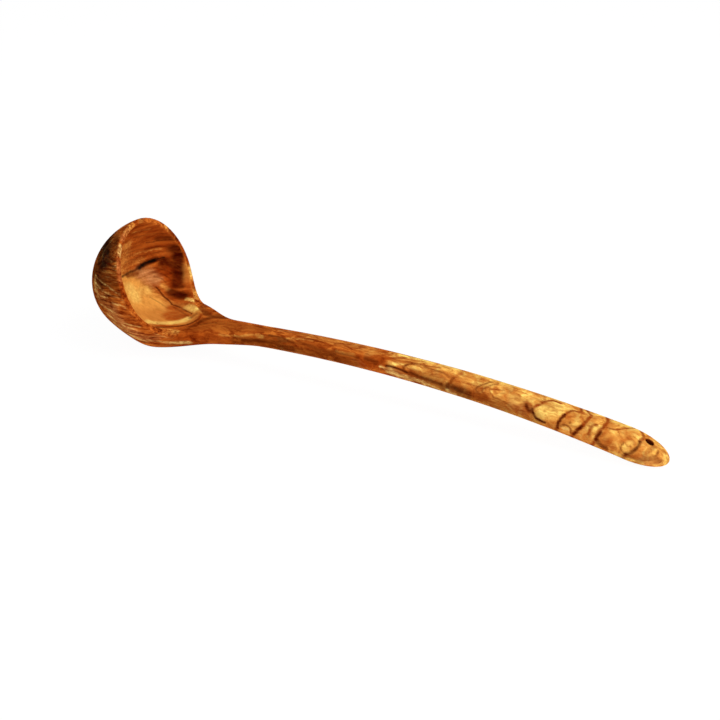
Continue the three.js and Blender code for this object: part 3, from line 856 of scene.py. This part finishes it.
def paint_figure(mesh, sizes):
    """Lay the figure of the wood, with its painted shade and highlights, on the skin, as one strength for
    each colour at each point.
    """
    count = len(mesh.vertices)
    found = {}
    for name in ("hollow", "top", "middle", "bore", "carved"):
        layer = mesh.attributes[name]
        values = np.empty(count * (3 if name == "carved" else 1))
        layer.data.foreach_get("vector" if name == "carved" else "value", values)
        found[name] = values / MM
        mesh.attributes.remove(layer)
    skin = found["carved"].reshape(-1, 3)
    shift = mesh.vertices[0].co.x / MM - skin[0, 0]

    # Chart of the handle: the station, and the way round the bar from the middle of its top
    x, across = skin[:, 0], -skin[:, 1]
    bar = np.stack([x + shift, BAR_ROUND * np.arctan2(across, skin[:, 2] - found["middle"])], 1)

    # Chart of the bowl: the way up from its bottom, laid out flat in the direction of the turn
    z = skin[:, 2] - sizes["mouth_height"] / MM
    tilt = sizes["mouth_tilt"]
    u = x * math.sin(tilt) - z * math.cos(tilt)
    v = x * math.cos(tilt) + z * math.sin(tilt)
    reach = np.sqrt(u * u + across * across + v * v)
    climb = BOWL_ROUND * np.arccos(np.clip(-v / reach, -1, 1))
    turn = np.arctan2(across, u)
    bowl = np.stack([climb * np.cos(turn), climb * np.sin(turn)], 1)

    # The wood's layers wander, so the marks are read through a gentle waver, longer along the grain
    noise.seed_set(GRAIN_SEED)
    for length_mm, width_mm, share in WAVERS:
        swing = [noise.noise_vector(Vector(spot)) for spot in skin / (length_mm, width_mm, width_mm)]
        swing = np.array(swing)[:, :2] * share
        bar += swing
        bowl += swing

    inside = 1 - smooth(*HOLLOW_EDGE, found["hollow"])
    rim = smooth(*RIM_EDGE, found["top"]) * (1 - inside) * (1 - smooth(*RIM_END, x))
    neck = smooth(*NECK_START, x)
    masks = {"ringed": (1 - inside) * (1 - rim) * (1 - neck), "inner": inside, "edge": rim}
    for marks, chart, gate in ((OUTSIDE_MARKS, bowl, masks["ringed"]),
                               (INSIDE_MARKS, bowl, inside), (RIM_MARKS, bowl, rim),
                               (HANDLE_MARKS, bar, neck * (1 - inside))):
        held = gate > LEAST_SHARE
        here = chart[held]
        for colour, width, strength, *points in marks:
            mask = masks.setdefault(colour, np.zeros(count))
            points = np.array(points, float)
            if chart is bar:
                points[:, 1] = np.radians(points[:, 1]) * BAR_ROUND
                laps = (0, -1, 1)
            else:
                climbs, angles = np.radians(points).T
                points = BOWL_ROUND * np.stack([climbs * np.cos(angles), climbs * np.sin(angles)], 1)
                laps = (0,)
            line = curve_through(points)
            for lap in laps:
                once_round = (0, lap * 2 * math.pi * BAR_ROUND)
                cover = stroke(here, line + once_round, width) * strength * gate[held]
                mask[held] = np.maximum(mask[held], cover)
    # Painted shade in the hanging hole: one on its wall, fading out at its edge
    masks["drilled"] = 1 - smooth(*HOLE_EDGE, found["bore"])
    for colour, mask in masks.items():
        mesh.attributes.new(colour, "FLOAT", "POINT").data.foreach_set("value", mask.astype(np.float32))


# The colours in the order that they are laid, each over the ones before it
LAYERS = ("gold", "tan", "heart", "pale", "red", "brown", "umber", "dark", "fleck_and_highlight", "black")

# How much faster green and blue sink than red does where the wood darkens
GREEN_FALL = 1.6
BLUE_FALL = 1.9


def olive_wood(colours):
    """Olive wood, carved, sanded and rubbed with a little oil: an almost matt skin over swirling layers
    of gold and brown, with fine fibres along the handle and rings round the bowl's back."""
    material = bpy.data.materials.new("oiled_olive_wood")
    material.use_nodes = True
    tree = material.node_tree
    tree.nodes.clear()
    plus, less, times, over, power = arithmetic(tree)
    place = add(tree, "ShaderNodeTexCoord").node.outputs["Object"]

    def figure(at, size, detail, rough, bend=None):
        """A cloudy pattern with patches of one size in millimetres."""
        return add(tree, "ShaderNodeTexNoise", at, 1 / (size * MM), detail, rough, None, bend)

    def wander(at, size):
        """A direction that changes over patches of one size in millimetres."""
        way = figure(at, size, 2.0, 0.5).node.outputs["Color"]
        return add(tree, VECTOR + "SUBTRACT", way, (0.5, 0.5, 0.5))

    def aside(at, way, *reach):
        """A place moved along a direction, by a reach in millimetres on each axis."""
        return add(tree, VECTOR + "MULTIPLY_ADD", way, [part * MM for part in reach], at)

    def drawn_out(at, *shares):
        """A place for a pattern that is drawn out along each axis whose share is below one."""
        return add(tree, "ShaderNodeMapping", at, None, None, shares)

    def fit(value, low, high, start, end):
        """One range of values laid onto another, held at its ends."""
        return add(tree, "ShaderNodeMapRange", value, low, high, start, end)

    def where(mask, without, within):
        """A value that goes from one outside a mask to another within it."""
        return fit(mask, 0.0, 1.0, without, within)

    def lay(share, under, paint):
        """A colour laid over what is under it."""
        return add(tree, "ShaderNodeMix", share, under, (*paint, 1), data_type="RGBA")

    # The grain swirls: every pattern is read a few millimetres aside
    drift = wander(drawn_out(place, 0.5, 1.0, 1.0), 11)
    curl = wander(place, 4)
    swirl = aside(aside(place, drift, 14, 5, 5), curl, 4, 2, 2)
    # Fibres about 0.5 mm wide and 5 mm long, and streaks twice as large that break up the marks
    along = drawn_out(swirl, 1 / 7, 1.0, 1.0)
    fibre = figure(along, 0.9, 3.0, 0.6)
    streak = figure(along, 2.2, 3.0, 0.6)
    # Mottling, about 4 mm across and twice as long
    drawn = drawn_out(swirl, 0.5, 1.0, 1.0)
    mottle = figure(drawn, 4.5, 4.0, 0.62, 1.2)
    # Layers about 1 mm thick, cut across: a thin line wherever a slow swell passes a step
    swell = figure(drawn, 9, 1.0, 0.4)
    swell = add(tree, MATH + "PINGPONG", times(swell, 8.0), 0.5)
    vein = fit(swell, 0.0, 0.16, 1.0, 0.0)
    # Clouds of darker and paler wood in the gold, about 6 mm across
    cloud = figure(drawn_out(swirl, 1.2, 0.6, 0.6), 6, 3.0, 0.55, 1.0)
    # Lines about 1 mm wide and 15 mm long that rise across the hollow, and speckles for the rim
    laid = add(tree, "ShaderNodeMapping", aside(place, drift, 4, 2, 3), None, (0.0, math.radians(18), 0.0))
    lines = figure(drawn_out(laid, 1 / 16, 1 / 7, 1.0), 2.6, 2.0, 0.5)
    speckle = figure(place, 1.3, 3.0, 0.6)
    # Rings about 1 mm apart round an axis that leaves the bowl near its back, and glints along them
    turned = add(tree, "ShaderNodeMapping", aside(place, drift, 0, 2, 2), (0.0, 22 * MM, -60 * MM))
    back, side, high = add(tree, "ShaderNodeSeparateXYZ", turned).node.outputs
    apart = magnitude(tree, add(tree, "ShaderNodeCombineXYZ", 0.0, side, high))
    angle = add(tree, MATH + "ARCTAN2", side, high)
    wound = add(tree, "ShaderNodeCombineXYZ", over(apart, 1.0 * MM), times(angle, 4.0),
                over(back, 20 * MM))
    rings = add(tree, "ShaderNodeTexNoise", wound, 1.0, 3.0, 0.6)
    glint = add(tree, "ShaderNodeTexNoise", wound, 1.6, 2.0, 0.5)

    # The colours, each with a frayed edge, and clouds in the open gold
    masks = {name: add(tree, "ShaderNodeAttribute", attribute_name=name).node.outputs["Fac"]
             for name in LAYERS + ("ringed", "inner", "edge", "drilled")}
    body = fit(streak, 0.3, 0.7, 0.75, 1.15)
    fray = plus(fit(fibre, 0.3, 0.7, -0.7, 0.7), fit(mottle, 0.3, 0.7, -0.6, 0.6))
    colour = (*colours.heart, 1)
    open_gold = less(masks["gold"], masks["inner"], use_clamp=True)
    for name in LAYERS:
        edge = times(times(masks[name], less(1.0, masks[name])), fray)
        cover = add(tree, MATH + "MULTIPLY_ADD", masks[name], body, edge, use_clamp=True)
        colour = lay(cover, colour, getattr(colours, name))
        if name == "gold":
            for low, high, paint in ((0.5, 0.64, colours.heart), (0.48, 0.36, colours.pale)):
                colour = lay(times(fit(cloud, low, high, 0.0, 0.65), open_gold), colour, paint)
    lit = times(fit(glint, 0.58, 0.7, 0.0, 0.32), masks["ringed"])
    colour = lay(times(lit, where(masks["umber"], 1.0, 0.15)), colour, colours.fleck_and_highlight)

    # Mottling, lines, speckles, fibres, rings and layers darken the wood towards red and lighten it
    # towards yellow, each to its own depth in its own place
    quiet = times(where(open_gold, 1.0, 0.62), where(masks["inner"], 1.0, 0.25))
    tone = add(tree, MATH + "MULTIPLY_ADD", fit(mottle, 0.32, 0.68, -0.5, 0.5), quiet, 1.0)
    bare = less(masks["inner"], masks["gold"], use_clamp=True)
    for pattern, low, high, depth in ((lines, 0.32, 0.68, where(bare, 0.0, 0.42)),
                                      (speckle, 0.32, 0.68, where(masks["edge"], 0.0, 0.45)),
                                      (fibre, 0.3, 0.7, where(masks["gold"], 0.17, 0.06)),
                                      (rings, 0.3, 0.7, where(masks["ringed"], 0.08, 0.5))):
        tone = add(tree, MATH + "MULTIPLY_ADD", fit(pattern, low, high, -1.0, 1.0), depth, tone)
    tone = add(tree, MATH + "MULTIPLY_ADD", vein, where(open_gold, -0.03, -0.1), tone)
    tone = add(tree, MATH + "MAXIMUM", tone, 0.2)
    # Painted shade: the hole's wall darkened almost to black
    tone = times(tone, where(masks["drilled"], 1.0, 0.03))
    tinted = add(tree, "ShaderNodeCombineXYZ", tone, power(tone, GREEN_FALL), power(tone, BLUE_FALL))
    colour = add(tree, VECTOR + "MULTIPLY", colour, tinted)

    shader = add(tree, "ShaderNodeBsdfPrincipled", colour).node
    shader.inputs["Specular IOR Level"].default_value = 0.0
    tree.links.new(fit(fibre, 0.3, 0.7, 0.36, 0.5), shader.inputs["Roughness"])
    bump = add(tree, "ShaderNodeBump", 0.25, 0.2 * MM)
    tree.links.new(fibre, bump.node.inputs["Height"])
    tree.links.new(bump, shader.inputs["Normal"])
    output = tree.nodes.new("ShaderNodeOutputMaterial")
    tree.links.new(shader.outputs["BSDF"], output.inputs["Surface"])
    return material


# Corners of the block that the ladle is carved from, in millimetres
BLOCK_LOW = (-40, -43, -4)
BLOCK_HIGH = (306, 43, 76)


class LADLE_OT_wood(bpy.types.Operator):
    """Carve the ladle from one piece of olive wood"""
    bl_idname = "ladle.wood"
    bl_label = "Carve the ladle"

    def execute(self, context):
        sizes = sizes_of(context)
        tree = ladle_tree(list(sizes))
        mesh = bpy.data.meshes.new("ladle_blank")
        blank = bpy.data.objects.new("ladle_blank", mesh)
        context.scene.collection.objects.link(blank)
        modifier = blank.modifiers.new("Carving", "NODES")
        modifier.node_group = tree
        given = {"Low": Vector(BLOCK_LOW) * MM, "High": Vector(BLOCK_HIGH) * MM,
                 "Home": Vector((CAD_BOX[0][0], 0.0, CAD_BOX[0][2])),
                 "Wood": olive_wood(context.scene.ladle_colours), **sizes}
        for item in tree.interface.items_tree:
            if item.in_out == "INPUT":
                modifier[item.identifier] = given[item.name]
        blank.update_tag()
        graph = context.evaluated_depsgraph_get()
        carved = bpy.data.meshes.new_from_object(blank.evaluated_get(graph))
        blank.modifiers.clear()
        bpy.data.objects.remove(blank)
        if not carved.vertices:
            raise RuntimeError("the carving gave no skin")
        carved.name = "ladle"
        paint_figure(carved, sizes)
        ladle = bpy.data.objects.new("ladle", carved)
        context.scene.collection.objects.link(ladle)
        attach(ladle, "root")
        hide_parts("bowl", "handle")
        return {"FINISHED"}


def white_to_view(tree):
    """One where the camera, a reflection or glass sees the backdrop, nought where it lights the ladle."""
    rays = add(tree, "ShaderNodeLightPath").node.outputs
    mirrored = add(tree, MATH + "MAXIMUM", rays["Is Glossy Ray"], rays["Is Transmission Ray"])
    return add(tree, MATH + "MAXIMUM", rays["Is Camera Ray"], mirrored)


# The floor's reach in metres, and its own light and its share of the lamps' light to the camera
FLOOR_REACH = 6.0
FLOOR_GLOW = 0.96
FLOOR_SHARE = 0.07

# Strength of the light from all round
AROUND = 0.33

# Each lamp: its watts, its width and its place, in metres, and the point that all of them face
LAMPS = {"key": (8.3, 0.9, (0.55, 0.1, 0.9)), "fill": (4.4, 0.8, (0.15, -0.9, 0.5))}
LIT_POINT = (-0.05, 0, 0.02)

# The camera's azimuth, elevation and roll in degrees, what it looks at, its distance and its lens in mm
VIEW_ANGLES = (17.4427, 27.5515, 5.5491)
VIEW_AIM = (-7.7374, 0, 18.5253)
VIEW_DISTANCE = 900
VIEW_LENS = 81.70
VIEW_SENSOR = 36


class LADLE_OT_studio(bpy.types.Operator):
    """Lay the floor, hang the lamps and set up the camera"""
    bl_idname = "ladle.studio"
    bl_label = "Set up the studio"

    def execute(self, context):
        scene = context.scene
        scene.view_settings.view_transform = "Standard"

        # Pale floor: white to the camera, with the ladle's shadow kept
        mesh = bpy.data.meshes.new("floor")
        corners = [(FLOOR_REACH * x, FLOOR_REACH * y, 0) for x, y in ((-1, -1), (1, -1), (1, 1), (-1, 1))]
        mesh.from_pydata(corners, [], [(0, 1, 2, 3)])
        floor = bpy.data.objects.new("floor", mesh)
        scene.collection.objects.link(floor)
        card = bpy.data.materials.new("white_card")
        card.use_nodes = True
        tree = card.node_tree
        tree.nodes.clear()
        matt = add(tree, "ShaderNodeBsdfDiffuse", (*linear("#FFFFFF"), 1))
        dim = add(tree, "ShaderNodeBsdfDiffuse", (FLOOR_SHARE, FLOOR_SHARE, FLOOR_SHARE, 1))
        glow = add(tree, "ShaderNodeEmission", (1, 1, 1, 1), FLOOR_GLOW)
        white = add(tree, "ShaderNodeAddShader", dim, glow)
        surface = add(tree, "ShaderNodeMixShader", white_to_view(tree), matt, white)
        output = tree.nodes.new("ShaderNodeOutputMaterial")
        tree.links.new(surface, output.inputs["Surface"])
        mesh.materials.append(card)

        world = bpy.data.worlds.new("studio")
        scene.world = world
        world.use_nodes = True
        tree = world.node_tree
        background = tree.nodes["Background"]
        background.inputs["Color"].default_value = (1, 1, 1, 1)
        strength = add(tree, "ShaderNodeMapRange", white_to_view(tree), 0.0, 1.0, AROUND, 1.0)
        tree.links.new(strength, background.inputs["Strength"])

        # A broad key from the upper right and a fill from the front
        for name, (watts, width, spot) in LAMPS.items():
            lamp = bpy.data.lights.new(name, "AREA")
            lamp.energy = watts
            lamp.size = width
            holder = bpy.data.objects.new(name, lamp)
            holder.location = spot
            facing = Vector(LIT_POINT) - holder.location
            holder.rotation_euler = facing.to_track_quat("-Z", "Y").to_euler()
            scene.collection.objects.link(holder)

        # The camera looks down on the ladle, a little rolled
        azimuth, elevation, roll = (math.radians(angle) for angle in VIEW_ANGLES)
        back = Vector((math.sin(azimuth) * math.cos(elevation), -math.cos(azimuth) * math.cos(elevation),
                       math.sin(elevation)))
        right = Vector((math.cos(azimuth), math.sin(azimuth), 0))
        up = back.cross(right)
        turned_right = math.cos(roll) * right + math.sin(roll) * up
        turned_up = math.cos(roll) * up - math.sin(roll) * right
        lens = bpy.data.cameras.new("camera")
        lens.sensor_width = VIEW_SENSOR
        lens.lens = VIEW_LENS
        camera = bpy.data.objects.new("camera", lens)
        turn = Matrix((turned_right, turned_up, back)).transposed().to_4x4()
        place = Vector(VIEW_AIM) * MM + VIEW_DISTANCE * MM * back
        camera.matrix_world = Matrix.Translation(place) @ turn
        scene.collection.objects.link(camera)
        scene.camera = camera
        return {"FINISHED"}


class LADLE_PT_panel(bpy.types.Panel):
    """The ladle's steps, sizes and colours"""
    bl_idname = "LADLE_PT_panel"
    bl_label = "Carved ladle"
    bl_space_type = "VIEW_3D"
    bl_region_type = "UI"
    bl_category = "Ladle"

    def draw(self, context):
        layout = self.layout
        for operator in (LADLE_OT_wood, LADLE_OT_studio):
            layout.operator(operator.bl_idname)
        for group in (context.scene.ladle_sizes, context.scene.ladle_colours):
            for prop in group.bl_rna.properties:
                if prop.type == "FLOAT":
                    layout.prop(group, prop.identifier)


CLASSES = (LadleSizes, LadleColours, LADLE_OT_wood, LADLE_OT_studio, LADLE_PT_panel)


def register():
    """Add the ladle's classes and its settings on the scene."""
    for item in CLASSES:
        bpy.utils.register_class(item)
    bpy.types.Scene.ladle_sizes = PointerProperty(type=LadleSizes)
    bpy.types.Scene.ladle_colours = PointerProperty(type=LadleColours)


def unregister():
    """Take the ladle's settings and classes away again."""
    del bpy.types.Scene.ladle_colours
    del bpy.types.Scene.ladle_sizes
    for item in reversed(CLASSES):
        bpy.utils.unregister_class(item)


def main():
    """Make the ladle and its studio."""
    register()
    bpy.ops.ladle.wood()
    bpy.ops.ladle.studio()


if __name__ == "__main__":
    main()
